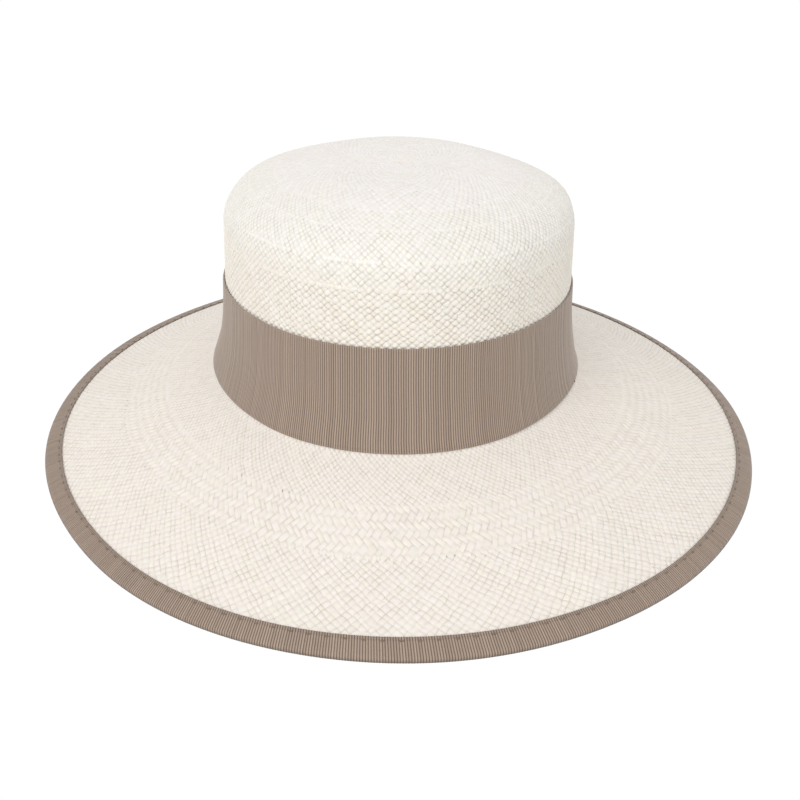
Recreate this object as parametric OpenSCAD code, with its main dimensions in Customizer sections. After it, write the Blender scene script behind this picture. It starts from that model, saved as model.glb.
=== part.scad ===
// Wide-brimmed woven straw hat with a ribbon band, a bound brim edge and an inner sweatband.
// Frame: origin at the centre of the plane the brim's edge rests on, +Z up through the crown,
// the wearer faces -Y, +X is the wearer's left. Millimetres.

/* [Oval] */
// How oval every horizontal section is; 2 is a regular oval head shape
oval_step = 2; // [1.5, 2, 2.5]

/* [Crown] */
// Half width of the crown where the shoulder starts
crown_r = 76.8; // [72:0.2:82]
// Height of the crown's tip above the resting plane
crown_top = 119.2; // [116:0.2:130]
// Height where the shoulder starts to turn in
shoulder_z = 97.2; // [92:0.2:100]
// How far in the shoulder reaches
shoulder_in = 22.7; // [16:0.1:26]
// Rise of the dome inside the shoulder
dome_rise = 3.6; // [2:0.1:6]
// How far the wall leans in for each millimetre of height
wall_lean = 0.05; // [0:0.01:0.08]
// Extra width at the wall's foot behind the ribbon
foot_flare = 5.1; // [3:0.1:7]

/* [Brim] */
// Half width over the bare straw brim
brim_r = 164; // [150:0.1:180]
// Height of the brim where it would meet the wall
brim_z = 30.2; // [30.0:0.1:30.5]
// Fall of the brim as a straight slope
brim_fall = 31.3; // [31.0:0.1:31.5]
// Extra fall towards the edge; a negative value eases the slope there
brim_curl = -2.7; // [-3.0:0.1:-2.5]
// Thickness of the woven straw
straw_t = 1.6; // [1.2:0.1:2.0]

/* [Ribbon] */
// Height of the hat band's lower edge
band_z0 = 31.5; // [31.3:0.1:34]
// Height of the hat band's upper edge
band_z1 = 73.2; // [71:0.1:82]
// Thickness of the grosgrain ribbon
ribbon_t = 0.7; // [0.5:0.1:0.9]
// Width of brim binding seen from above
binding_w = 6; // [5:0.1:9]
// Thickness of the binding tape
binding_t = 0.6; // [0.4:0.1:0.8]

/* [Bow] */
// Lower edge of the bow's loops
bow_z0 = 36.5; // [34.5:0.5:42]
// Upper edge of the bow's loops
bow_z1 = 68.5; // [64:0.5:69.5]
// Half angle that the loops cover round the back
bow_half = 32; // [24:1:35]
// Half angle that the tails cover round the back
tail_half = 41; // [37:1:44]

/* [Sweatband] */
// Height of the sweatband's upper edge
sweat_z1 = 62; // [56:0.5:68]
// Thickness of the sweatband
sweat_t = 0.8; // [0.6:0.1:1.0]
// Radius of the welt cord in its lower edge
reed_r = 0.9; // [0.7:0.1:1.0]

/* [Stitches] */
// Pitch of the stitches along the brim binding
binding_pitch = 6; // [5:0.5:10]
// Pitch of the machine stitches in the sweatband
sweat_pitch = 4; // [3.5:0.5:6]
// Thickness of the sewing thread
thread_d = 0.44; // [0.3:0.02:0.5]

/* [Hidden] */
$fn = 96;

straw = [0.96, 0.94, 0.89];
taupe = [0.62, 0.55, 0.49];
dark_taupe = [0.5, 0.43, 0.37];
cream = [0.90, 0.86, 0.79];
cord_white = [0.93, 0.92, 0.88];
tape_beige = [0.80, 0.75, 0.68];
tab_white = [0.95, 0.94, 0.91];

// Every horizontal section is the same four-centred oval, grown or shrunk as a parallel curve:
// two side arcs centred on the X axis and two end arcs centred on the Y axis, each of 90 degrees.
// 13.86 and 5.741 stand in the ratio 1 : sqrt(2) - 1, which makes the arcs meet without a step.
centre_d = 13.86 * oval_step;        // distance of all four centres from the origin
end_in = 5.741 * oval_step;          // end arc radius is this much less than the half width
oval_extra = centre_d - end_in;      // half length less half width

// ---- profile of the woven straw, as [half width, height] ----

tip_hole = 20;                       // half width of the hole that the tip plate closes
flat_w = 32;                         // half width inside which the tip is flat
dome_r = crown_r - shoulder_in;
dome_z = crown_top - dome_rise;
dome_slope = 2 * dome_rise / (dome_r - flat_w);
shoulder_pull = 0.55;                // reach of the shoulder curve's handles
flare_height = band_z1 - band_z0;    // height over which the foot flares out
foot_z = band_z0 - 0.5;              // where the wall turns into the brim
fillet_r = 89.5;                     // half width where the brim's own curve starts
brim_start = 86;                     // half width where the brim is at height brim_z
brim_span = brim_r - 84.9;           // width the brim's fall is stated over
curl_power = 3.1;                    // how late the curl sets in

// half width of the crown's outer face at height z
function wall_r(z) = crown_r + wall_lean * (shoulder_z - z)
    + (z < band_z1 ? foot_flare * pow((band_z1 - z) / flare_height, 3) : 0);

// height of the brim's upper face at a half width
function brim_h(half_w) = let (run = (half_w - brim_start) / brim_span)
    brim_z - brim_fall * run - brim_curl * pow(max(run, 0), curl_power);

// cubic and quadratic Bezier curves through their first and last points
function cubic(a, b, c, d, t) =
    (1-t)*(1-t)*(1-t)*a + 3*(1-t)*(1-t)*t*b + 3*(1-t)*t*t*c + t*t*t*d;
function quadratic(a, b, c, t) = (1-t)*(1-t)*a + 2*(1-t)*t*b + t*t*c;

dome_handle = [dome_r + shoulder_pull * shoulder_in,
               dome_z - shoulder_pull * shoulder_in * dome_slope];
shoulder_rise = shoulder_pull * (dome_z - shoulder_z);
shoulder_handle = [crown_r - wall_lean * shoulder_rise, shoulder_z + shoulder_rise];
foot_handle = [wall_r(foot_z) + 0.5, brim_h(88) + 0.8];

// the outer face from the tip to the brim's edge: tip, dome, shoulder, wall, fillet, brim
upper_face = concat(
    [[tip_hole, crown_top]],
    [for (i = [0 : 5]) let (u = i / 6)
        [flat_w + (dome_r - flat_w) * u, crown_top - dome_rise * u * u]],
    [for (i = [0 : 9])
        cubic([dome_r, dome_z], dome_handle, shoulder_handle, [crown_r, shoulder_z], i / 9)],
    [for (i = [1 : 20]) let (z = shoulder_z + (foot_z - shoulder_z) * i / 20) [wall_r(z), z]],
    [for (i = [1 : 7]) quadratic([wall_r(foot_z), foot_z], foot_handle,
                                 [fillet_r, brim_h(fillet_r)], i / 8)],
    [for (i = [0 : 20]) let (half_w = fillet_r + (brim_r - fillet_r) * i / 20)
        [half_w, brim_h(half_w)]]);

// ---- profile helpers ----

function unit(v) = v / norm(v);
function reversed(line) = [for (i = [len(line) - 1 : -1 : 0]) line[i]];

// outward normal of a polyline at point i
function normal_at(line, i) =
    let (along = unit(line[min(i + 1, len(line) - 1)] - line[max(i - 1, 0)]))
    [-along.y, along.x];

// the same polyline moved along its normal; points on the flat tip move straight up or down
function offset_line(line, shift) = [for (i = [0 : len(line) - 1])
    line[i].y == crown_top ? line[i] + [0, shift] : line[i] + shift * normal_at(line, i)];

// a line that follows the wall between two heights, a distance off the outer face
function wall_line(low, high, off, steps) =
    [for (i = [0 : steps]) let (z = low + (high - low) * i / steps) [wall_r(z) + off, z]];

// a strip of material on the wall between two heights, bounded by two distances off it
function wall_strip(low, high, off_a, off_b, steps) =
    concat(wall_line(low, high, off_a, steps), reversed(wall_line(low, high, off_b, steps)));

// ---- oval helpers ----

// a ring of the oval section swept from a profile of half width against height
module oval_ring() {
    for (flip = [0, 1]) {
        mirror([flip, 0, 0]) translate([-centre_d, 0, 0])
            rotate_extrude(angle = 90, start = -45) translate([centre_d, 0]) children();
        mirror([0, flip, 0]) translate([0, centre_d, 0])
            rotate_extrude(angle = 90, start = 45) translate([-end_in, 0]) children();
    }
}

// the part of the ring at the back between two directions, within 45 and 135 degrees
module back_sector(from, to) {
    translate([0, centre_d, 0]) rotate_extrude(angle = to - from, start = from)
        translate([-end_in, 0]) children();
}

// point on the oval where its outward direction is at the angle
function oval_pt(half_w, angle) =
    let (quarter = floor((angle + 45) / 90) % 4,
         centre = [[-centre_d, 0], [0, centre_d], [centre_d, 0], [0, -centre_d]][quarter],
         radius = quarter % 2 == 0 ? half_w + centre_d : half_w - end_in)
    centre + radius * [cos(angle), sin(angle)];

// table of [length along the oval, direction]
function arc_table(half_w, steps = 360) = [for (i = 0, run = 0; i <= steps;
    run = run + norm(oval_pt(half_w, (i + 1) * 360 / steps) - oval_pt(half_w, i * 360 / steps)),
    i = i + 1) [run, i * 360 / steps]];

// directions of points evenly spaced by length, as near the pitch as closes the oval
function even_angles(half_w, pitch) =
    let (table = arc_table(half_w),
         total = table[len(table) - 1][0],
         count = round(total / pitch))
    [for (i = [0 : count - 1]) lookup(i * total / count, table)];

// one stitch: a short bar of thread lying along the oval
module stitch(half_w, angle, z, length) {
    place = oval_pt(half_w, angle);
    translate([place.x, place.y, z]) rotate([0, 0, angle + 90])
        rotate([0, 90, 0]) cylinder(h = length, d = thread_d, center = true, $fn = 24);
}

// ---- straw ----

// corners of the tip plate in the +X +Y quarter
tip_corners = [[26, oval_extra + 4], [12, oval_extra + 25]];

// crown and brim in one piece
module straw_body() {
    color(straw) union() {
        oval_ring() polygon(concat(upper_face, reversed(offset_line(upper_face, -straw_t))));
        // flat plate that closes the middle of the tip, ending inside the ring's own flat part
        translate([0, 0, crown_top - straw_t]) linear_extrude(straw_t)
            polygon([for (side = [[1, 1], [-1, 1], [-1, -1], [1, -1]],
                          corner = side.x * side.y > 0 ? tip_corners : reversed(tip_corners))
                [side.x * corner.x, side.y * corner.y]]);
    }
}

// ---- ribbon and bow, layered outwards from the wall ----

gap = 0.1;                           // clearance between layers
layer = gap + ribbon_t;              // outer face of the hat band
tail_off = layer + gap;              // inner face of the tails
loop_off = 2 * layer + gap;          // inner face of the loops
loop_depth = 3.4;
loop_end = 0.7;                      // angle of material closing a loop's outer end
loop_middle = 1.5;                   // half angle of material between the loops
back = 90;                           // direction of the middle of the back

// grosgrain ribbon round the foot of the crown
module hat_band() {
    color(taupe) oval_ring() polygon(wall_strip(band_z0, band_z1, gap, layer, 12));
}

// thread tacks on the ribbon along the two sides
module band_tack_stitches() {
    z = band_z0 + 1.2;
    half_w = wall_r(z) + layer + 0.1 + thread_d / 2;
    color(taupe) for (angle = [12, 40, 140, 168, 200, 340])
        stitch(half_w, angle, z, length = 1.8);
}

// the bow's lower layer: one strip with two cut ends
module bow_tails() {
    color(taupe) back_sector(back - tail_half, back + tail_half)
        polygon(wall_strip(bow_z0 + 1, bow_z1 - 1, tail_off, tail_off + ribbon_t, 6));
}

// the bow's upper layer: two flat hollow loops
module bow_loops() {
    outer = loop_off + loop_depth;
    color(taupe) difference() {
        back_sector(back - bow_half, back + bow_half)
            polygon(wall_strip(bow_z0, bow_z1, loop_off, outer, 6));
        for (from = [back - bow_half + loop_end, back + loop_middle])
            back_sector(from, from + bow_half - loop_end - loop_middle)
                polygon(wall_strip(bow_z0 - 2, bow_z1 + 2,
                                   loop_off + ribbon_t, outer - ribbon_t, 6));
    }
}

// the short wrap round the middle of the bow, open towards the crown
module bow_knot() {
    over = loop_off + loop_depth + gap;
    outer = over + ribbon_t;
    low = bow_z0 - 0.3;
    high = bow_z1 + 0.3;
    bottom = low - ribbon_t;
    top = high + ribbon_t;
    outer_line = wall_line(low, high, outer, 6);
    color(taupe) back_sector(back - 5, back + 5) polygon(concat(
        [[wall_r(low) + tail_off, low]],
        wall_line(low, high, over, 6),
        [[wall_r(high) + tail_off, high],
         [wall_r(high) + tail_off, top],
         [wall_r(high) + outer, top]],
        [for (i = [5 : -1 : 1]) outer_line[i]],
        [[wall_r(bottom) + outer, bottom],
         [wall_r(bottom) + tail_off, bottom]]));
}

// ---- brim binding ----

// grosgrain tape folded over the brim's edge, with a narrow flat underneath that the hat rests on
module brim_binding() {
    steps = 6;
    slack = 0.06;                    // clearance between tape and straw
    outer = slack + binding_t;
    top = [for (i = [0 : steps]) let (half_w = brim_r - binding_w * (1 - i / steps))
        [half_w, brim_h(half_w)]];
    edge_normal = normal_at(top, steps);
    middle = top[steps] - edge_normal * straw_t / 2;
    base = atan2(edge_normal.y, edge_normal.x);
    // half circle round the middle of the straw's cut edge
    function fold(radius) = [for (i = [0 : 8]) let (angle = base - 180 * i / 8)
        middle + radius * [cos(angle), sin(angle)]];
    color(taupe) difference() {
        oval_ring() polygon(concat(
            offset_line(top, outer),
            fold(straw_t / 2 + outer),
            reversed(offset_line(top, -straw_t - outer)),
            offset_line(top, -straw_t - slack),
            reversed(fold(straw_t / 2 + slack)),
            reversed(offset_line(top, slack))));
        // everything below the resting plane
        translate([-300, -300, -20]) cube([600, 600, 20]);
    }
}

// stitches along the inner edge of the binding
module brim_binding_stitches() {
    half_w = brim_r - binding_w + 1.1;
    z = brim_h(half_w) + binding_t + 0.12 + thread_d / 2;
    color(dark_taupe) for (angle = even_angles(half_w, binding_pitch))
        stitch(half_w + 0.1, angle, z, length = 2.2);
}

// ---- sweatband; distances off the wall's outer face are negative inwards ----

sweat_z0 = 31.8;                     // height of the sweatband's lower edge
sweat_outer = -straw_t - 0.75;       // leaves a gap that holds the reed tape's flange
sweat_inner = sweat_outer - sweat_t;
reed_z = 29.9;
reed_x = wall_r(sweat_z0) + sweat_outer - sweat_t / 2 - 0.5;

// inner band that sits on the forehead
module sweatband() {
    color(cream) oval_ring() polygon(wall_strip(sweat_z0, sweat_z1, sweat_inner, sweat_outer, 8));
}

// round section centred on the welt cord
module reed_circle(radius) {
    translate([reed_x, reed_z]) circle(r = radius, $fn = 32);
}

// round welt cord along the sweatband's lower edge
module reed_cord() {
    color(cord_white) oval_ring() reed_circle(reed_r);
}

// tape wrapped round the cord, with a flange that runs up behind the sweatband
module reed_tape() {
    flange_height = 8;
    color(tape_beige) oval_ring() union() {
        difference() {
            reed_circle(reed_r + 0.35);
            reed_circle(reed_r + 0.08);
        }
        polygon(concat(
            [[reed_x + 0.55, reed_z + 1.02], [reed_x + 0.85, reed_z + 0.72]],
            wall_strip(sweat_z0, sweat_z0 + flange_height, -straw_t - 0.25, -straw_t - 0.45, 4)));
    }
}

// machine stitches round the inner face of the sweatband
module sweatband_stitches() {
    z = 33.6;
    half_w = wall_r(z) + sweat_inner - 0.1 - thread_d / 2;
    color(cream) for (angle = even_angles(half_w, sweat_pitch))
        stitch(half_w - 0.02, angle, z, length = 2.6);
}

// small flat bow with a raised middle, inside the sweatband at the back
module sweatband_bow() {
    face = sweat_inner - gap;
    color(taupe) union() {
        back_sector(back - 7.5, back + 7.5) polygon(wall_strip(38, 46, face - 1.1, face, 3));
        back_sector(back - 1.6, back + 1.6) polygon(wall_strip(39, 45, face - 2.0, face - 0.4, 3));
    }
}

// blank tab inside the sweatband at the back, just below its upper edge
module size_tab() {
    face = sweat_inner - 0.15;
    color(tab_white) back_sector(back - 7, back + 7)
        polygon(wall_strip(sweat_z1 - 13.6, sweat_z1 - 0.1, face - 0.4, face, 4));
}

straw_body();
hat_band();
band_tack_stitches();
bow_tails();
bow_loops();
bow_knot();
brim_binding();
brim_binding_stitches();
sweatband();
reed_cord();
reed_tape();
sweatband_stitches();
sweatband_bow();
size_tab();
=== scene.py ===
"""Woven straw hat with a ribbed ribbon band, a bow at the back, a bound brim and a sweatband.

The hat lies brim down, its brim edge just above z = 0. X runs across, Y runs lengthwise:
the front is toward -Y, the bow toward +Y. Shapes are in mm and become metres in make_piece.

A place on the hat is given by the half width of an oval (its reach along X), by the share of
the way round that oval (0 to 1) and, on the straw, by the way along the profile from the
middle of the crown's tip to the brim's edge.
"""

import math

import bpy
import numpy as np
from mathutils import Matrix, Vector


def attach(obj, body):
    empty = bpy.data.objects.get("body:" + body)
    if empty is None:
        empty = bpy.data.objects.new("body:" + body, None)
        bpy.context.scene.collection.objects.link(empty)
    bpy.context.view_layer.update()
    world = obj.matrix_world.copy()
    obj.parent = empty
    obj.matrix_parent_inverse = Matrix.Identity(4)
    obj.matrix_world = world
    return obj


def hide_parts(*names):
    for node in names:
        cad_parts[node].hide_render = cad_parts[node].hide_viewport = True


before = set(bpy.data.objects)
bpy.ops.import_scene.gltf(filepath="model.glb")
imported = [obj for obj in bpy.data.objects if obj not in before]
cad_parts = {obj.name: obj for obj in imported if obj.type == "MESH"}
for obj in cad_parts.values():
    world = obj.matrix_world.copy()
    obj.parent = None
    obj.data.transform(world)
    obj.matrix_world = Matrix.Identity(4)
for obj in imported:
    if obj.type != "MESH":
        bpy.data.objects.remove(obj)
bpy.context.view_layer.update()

# ---------------------------------------------------------------- sizes, in mm
# four-centred oval: the side arcs' radius is half width + CENTRE, the end arcs' half width - END_CUT
CENTRE = 27.72
END_CUT = 11.482
END_REACH = CENTRE - END_CUT  # how much further the oval reaches along Y than along X

TIP_Z = 119.2
FLAT_W = 32.0  # the tip is flat out to here
RING_W = 54.1  # the tip's rounded rim ends here, RING_DROP lower
RING_DROP = 3.6
RING_Z = TIP_Z - RING_DROP
WALL_TOP_W, WALL_TOP_Z = 76.8, 97.2
FLARE_Z = 73.2  # below this the wall flares out
WALL_END_Z = 31.0
BRIM_START_W, BRIM_START_Z = 86, 30.2
BRIM_JOIN_W = 89.5  # the curve from wall to brim ends here
BRIM_W = 164.0
STRAW_T = 1.6
SHIFT = (1.87, 3.68)  # the blocked brim sits a little off the crown's centre

BAND_BOTTOM = 31.5
GAP = 0.1
RIBBON_T = 0.7

BIND_IN = 158.0
TAPE_T = 0.6
TAPE_GAP = 0.06
RIB_SINK = 0.08  # ribs start this far below the tape's full thickness
TAPE_FACE = TAPE_GAP + TAPE_T - RIB_SINK

SWEAT_OUT = -2.35  # faces of the sweatband, measured from the wall's outer face
SWEAT_IN = SWEAT_OUT - 0.8


# ---------------------------------------------------------------- the hat's form


def wall_r(z):
    """Half width of the crown's wall at height z."""
    z = np.asarray(z, float)
    flare = 5.1 * (np.clip(FLARE_Z - z, 0, None) / (FLARE_Z - BAND_BOTTOM)) ** 3
    return WALL_TOP_W + 0.05 * (WALL_TOP_Z - z) + np.where(z < FLARE_Z, flare, 0)


def brim_h(half_w):
    """Height of the brim's upper face: a slope that flattens toward the edge."""
    run = (np.asarray(half_w, float) - BRIM_START_W) / 79.1
    return BRIM_START_Z - 31.3 * run + 2.7 * np.clip(run, 0, None) ** 3.1


def top_z(half_w):
    run = np.clip((half_w - FLAT_W) / (RING_W - FLAT_W), 0, None)
    return TIP_Z - RING_DROP * run * run


def smooth(ramp):
    ramp = np.clip(ramp, 0, 1)
    return ramp * ramp * (3 - 2 * ramp)


def bell(value, centre, spread):
    return np.exp(-(((value - centre) / spread) ** 2))


def oval_xy(half_w, angle):
    """Point of the oval where its outward direction is angle."""
    quarter = np.floor((angle + np.pi / 4) / (np.pi / 2)).astype(int) % 4
    cos, sin = np.cos(angle), np.sin(angle)
    side, end = half_w + CENTRE, half_w - END_CUT
    x = np.where(quarter == 0, -CENTRE + side * cos,
                 np.where(quarter == 2, CENTRE + side * cos, end * cos))
    y = np.where(quarter == 1, CENTRE + end * sin,
                 np.where(quarter == 3, -CENTRE + end * sin, side * sin))
    return x, y


def angle_of(half_w, share):
    """Outward direction at a share of the way round the oval, even by length."""
    side_r = half_w + CENTRE
    end_r = np.maximum(half_w - END_CUT, 1e-3)
    side_len, end_len = side_r * np.pi / 2, end_r * np.pi / 2
    run = np.mod(share, 1.0) * 2 * (side_len + end_len)
    right = -np.pi / 4 + run / side_r
    back = np.pi / 4 + (run - side_len) / end_r
    left = 3 * np.pi / 4 + (run - side_len - end_len) / side_r
    front = 5 * np.pi / 4 + (run - 2 * side_len - end_len) / end_r
    return np.where(run < side_len, right,
                    np.where(run < side_len + end_len, back,
                             np.where(run < 2 * side_len + end_len, left, front)))


def round_len(half_w):
    return math.pi * (2 * half_w + END_REACH)


def half_width(x, y):
    """Half width of the oval that passes through a point."""
    across, length = np.abs(x), np.abs(y)
    side = np.hypot(across + CENTRE, y) - CENTRE
    end = np.hypot(x, np.clip(length - CENTRE, 0, None)) + END_CUT
    return np.where(length <= across + CENTRE, side, end)


def pairs(first, second):
    return np.stack(np.broadcast_arrays(first, second), 1).astype(float)


def build_profile():
    """Outer face of the straw as (half width, z), from the tip's middle to the brim's edge."""
    flat = np.linspace(0, FLAT_W, 40)[:-1]
    rim = np.linspace(FLAT_W, RING_W, 40)[:-1]
    # shoulder: a cubic curve through these control points
    p0, p1, p2, p3 = np.array([[RING_W, RING_Z], [66.585, 111.53], [76.29, 107.32],
                               [WALL_TOP_W, WALL_TOP_Z]])
    t = np.linspace(0, 1, 50)[:-1, None]
    shoulder = (1 - t) ** 3 * p0 + 3 * (1 - t) ** 2 * t * p1 + 3 * (1 - t) * t * t * p2 + t ** 3 * p3
    wall_z = np.linspace(WALL_TOP_Z, WALL_END_Z, 70)[:-1]
    # foot: a quadratic curve from the wall to the brim
    foot_in = np.array([wall_r(WALL_END_Z), WALL_END_Z])
    foot_mid = np.array([foot_in[0] + 0.5, brim_h(88) + 0.8])
    foot_out = np.array([BRIM_JOIN_W, brim_h(BRIM_JOIN_W)])
    t = np.linspace(0, 1, 16)[:-1, None]
    foot = (1 - t) ** 2 * foot_in + 2 * (1 - t) * t * foot_mid + t * t * foot_out
    brim = np.linspace(BRIM_JOIN_W, BRIM_W, 120)
    return np.concatenate([pairs(flat, TIP_Z), pairs(rim, top_z(rim)), shoulder,
                           pairs(wall_r(wall_z), wall_z), foot, pairs(brim, brim_h(brim))])


def unit_gradient(points):
    step = np.gradient(points, axis=0)
    return step / np.linalg.norm(step, axis=1)[:, None]


PROFILE = build_profile()
PROF_W, PROF_Z = PROFILE.T
PROF_WAY = np.concatenate([[0], np.cumsum(np.hypot(np.diff(PROF_W), np.diff(PROF_Z)))])
_step = unit_gradient(PROFILE)
PROF_NORMAL = np.stack([-_step[:, 1], _step[:, 0]], 1)
PROF_NORMAL[:39] = (0, 1)  # the flat of the tip
RING_WAY = np.interp(RING_W, PROF_W[:120], PROF_WAY[:120])


def brim_way(half_w):
    """Way along the profile to a half width on the brim."""
    on_brim = (PROF_W > 85.5) & (PROF_Z < WALL_END_Z)
    return np.interp(half_w, PROF_W[on_brim], PROF_WAY[on_brim])


def wall_way(z):
    """Way along the profile to a height on the shoulder or the wall."""
    on_wall = (PROF_Z < 113) & (PROF_Z > 30.9) & (PROF_W < BRIM_START_W)
    return np.interp(-z, -PROF_Z[on_wall], PROF_WAY[on_wall])


def warp(x, y, z, half_w):
    """Small unevenness of a hand-blocked hat, the same for all pieces at the same place."""
    radius = np.hypot(x, y) + 1e-6
    cos, sin = x / radius, y / radius

    def toward(degrees):
        aim = math.radians(degrees)
        return np.clip(cos * math.cos(aim) + sin * math.sin(aim), 0, 1) ** 3

    # crown: the shoulder is fuller at the left, a little to the back, and lower down on the right
    crown = smooth((half_w - 45) / 15) * (z > 60)
    left, right = toward(155), toward(15)
    push = crown * (0.9 * left * bell(z, 111.0, 5.0) + 2.0 * right * bell(z, 109.0, 4.5))
    lift = crown * (1.5 * left + 0.2 * right) * bell(z, 112.0, 6.0)
    # brim: off the crown's centre, lower at the back, with a rise at the front right
    brim = smooth((half_w - 88) / 62)
    outer = smooth((half_w - 95) / 55)
    push = push + 0.7 * brim * sin ** 4
    lift = lift + (-0.10 - 0.84 * sin + 0.56 * cos) * outer * smooth((167 - half_w) / 9)
    lift = lift + 1.3 * outer * bell(np.degrees(np.arctan2(sin, cos)), -63, 20)
    # the foot of the crown leans toward -X and -Y
    foot = -0.5 * smooth((46 - z) / 12) * (1 - brim)
    return x + push * cos + SHIFT[0] * brim + foot, y + push * sin + SHIFT[1] * brim, z + lift


def surf(way, share, height):
    """Point at a way along the profile, a share round and a height off the straw's outer face."""
    way, share, height = np.broadcast_arrays(*(np.asarray(v, float) for v in (way, share, height)))
    half_w = np.interp(way, PROF_WAY, PROF_W)
    z = np.interp(way, PROF_WAY, PROF_Z)
    normal_r = np.interp(way, PROF_WAY, PROF_NORMAL[:, 0])
    normal_z = np.interp(way, PROF_WAY, PROF_NORMAL[:, 1])
    length = np.hypot(normal_r, normal_z)
    normal_r, normal_z = normal_r / length, normal_z / length
    # on the tip the oval of half width RING_W shrinks to a point and gets rounder on the way
    tip = way < RING_WAY
    oval_w = np.where(tip, RING_W, half_w)
    angle = angle_of(oval_w, share)
    x, y = oval_xy(oval_w, angle)
    stretch = (1 + 0.3 * smooth(half_w / RING_W)) / 1.3
    tip_x = x * half_w / RING_W
    tip_y = y * half_w / RING_W * stretch
    tip_z = top_z(np.minimum(half_width(tip_x, tip_y), RING_W))
    x, y, z = np.where(tip, tip_x, x), np.where(tip, tip_y, y), np.where(tip, tip_z, z)
    x = x + height * normal_r * np.cos(angle)
    y = y + height * normal_r * np.sin(angle)
    z = z + height * normal_z
    return np.stack(warp(x, y, z, half_w), -1)


def ring(half_w, z, share):
    """Point of the oval of a half width at height z."""
    half_w, z, share = np.broadcast_arrays(*(np.asarray(v, float) for v in (half_w, z, share)))
    x, y = oval_xy(half_w, angle_of(half_w, share))
    return np.stack(warp(x, y, z, half_w), -1)


# ---------------------------------------------------------------- materials


def srgb(*channels):
    parts = (c / 255 for c in channels)
    return np.array([c / 12.92 if c < 0.04045 else ((c + 0.055) / 1.055) ** 2.4 for c in parts])


def add_node(tree, kind, values=None, operation=None):
    node = tree.nodes.new(kind)
    if operation:
        node.operation = operation
    for socket, value in (values or {}).items():
        node.inputs[socket].default_value = value
    return node


def cloth(name, rough, spec, sheen=0.0, grain=900, grain_mix=0.05, bump=0.0, blotch=0.0):
    """Material coloured by the Tint attribute, with fine grain and, if asked, wide blotches."""
    material = bpy.data.materials.new(name)
    material.use_nodes = True
    tree = material.node_tree
    link = tree.links.new
    principled = tree.nodes["Principled BSDF"]
    principled.inputs["Roughness"].default_value = rough
    principled.inputs["Specular IOR Level"].default_value = spec
    if sheen:
        principled.inputs["Sheen Weight"].default_value = sheen
        principled.inputs["Sheen Roughness"].default_value = 0.4

    def noise_factor(vector, scale, detail, mix):
        noise = add_node(tree, "ShaderNodeTexNoise", {"Scale": scale, "Detail": detail})
        link(vector, noise.inputs["Vector"])
        span = add_node(tree, "ShaderNodeMapRange", {"To Min": 1 - mix, "To Max": 1 + mix})
        link(noise.outputs["Fac"], span.inputs["Value"])
        return noise, span.outputs["Result"]

    tint = add_node(tree, "ShaderNodeAttribute")
    tint.attribute_name = "Tint"
    coords = add_node(tree, "ShaderNodeTexCoord")
    mapping = add_node(tree, "ShaderNodeMapping")
    link(coords.outputs["Object"], mapping.inputs["Vector"])
    noise, factor = noise_factor(mapping.outputs["Vector"], scale=grain, detail=2, mix=grain_mix)
    if blotch:
        _, wide = noise_factor(coords.outputs["Object"], scale=28, detail=3, mix=blotch)
        product = add_node(tree, "ShaderNodeMath", operation="MULTIPLY")
        link(factor, product.inputs[0])
        link(wide, product.inputs[1])
        factor = product.outputs[0]
    shade = add_node(tree, "ShaderNodeVectorMath", operation="SCALE")
    link(tint.outputs["Color"], shade.inputs[0])
    link(factor, shade.inputs["Scale"])
    link(shade.outputs["Vector"], principled.inputs["Base Color"])
    if bump:
        relief = add_node(tree, "ShaderNodeBump", {"Strength": bump, "Distance": 0.0001})
        link(noise.outputs["Fac"], relief.inputs["Height"])
        link(relief.outputs["Normal"], principled.inputs["Normal"])
    return material


RIBBED = dict(rough=0.75, spec=0.2, grain=1600, grain_mix=0.10, bump=0.3, blotch=0.02)
CLOTHS = {
    "straw": dict(rough=0.62, spec=0.25, grain=700, grain_mix=0.035, bump=0.25, blotch=0.012),
    "grosgrain": dict(RIBBED, sheen=0.75),
    "binding_tape": dict(RIBBED, sheen=0.5),
    "taupe_thread": dict(rough=0.7, spec=0.2),
    "sweatband_cloth": dict(rough=0.8, spec=0.15, grain=2200, grain_mix=0.06, bump=0.4),
    "reed_plastic": dict(rough=0.45, spec=0.4),
    "reed_tape_cloth": dict(rough=0.85, spec=0.15, grain=2500, grain_mix=0.08, bump=0.4),
    "cream_thread": dict(rough=0.7, spec=0.2),
    "tab_cloth": dict(rough=0.5, sheen=0.2, spec=0.35, grain=2600, grain_mix=0.03, bump=0.2),
}
MATERIALS = {name: cloth(name, **look) for name, look in CLOTHS.items()}

STRAW = srgb(244, 238, 231)
# painted shade: the colours of the borders between straws and of the open corners, where little light
# gets in
STRAW_GAP_SHADE = srgb(203, 192, 178)
STRAW_HOLE_SHADE = srgb(168, 154, 134)
# TAUPE is the ribbon's colour, painted a little lighter as the lit crest of a rib; the groove colour is
# painted shade between ribs
TAUPE = srgb(177, 158, 143)
TAUPE_GROOVE_SHADE = srgb(92, 78, 68)
TAUPE_DARK = srgb(112, 97, 84)
CREAM = srgb(232, 224, 208)
REED_WHITE = srgb(236, 234, 226)
REED_TAPE = srgb(206, 196, 180)
TAB_WHITE = srgb(240, 238, 230)


# ---------------------------------------------------------------- mesh building


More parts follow.
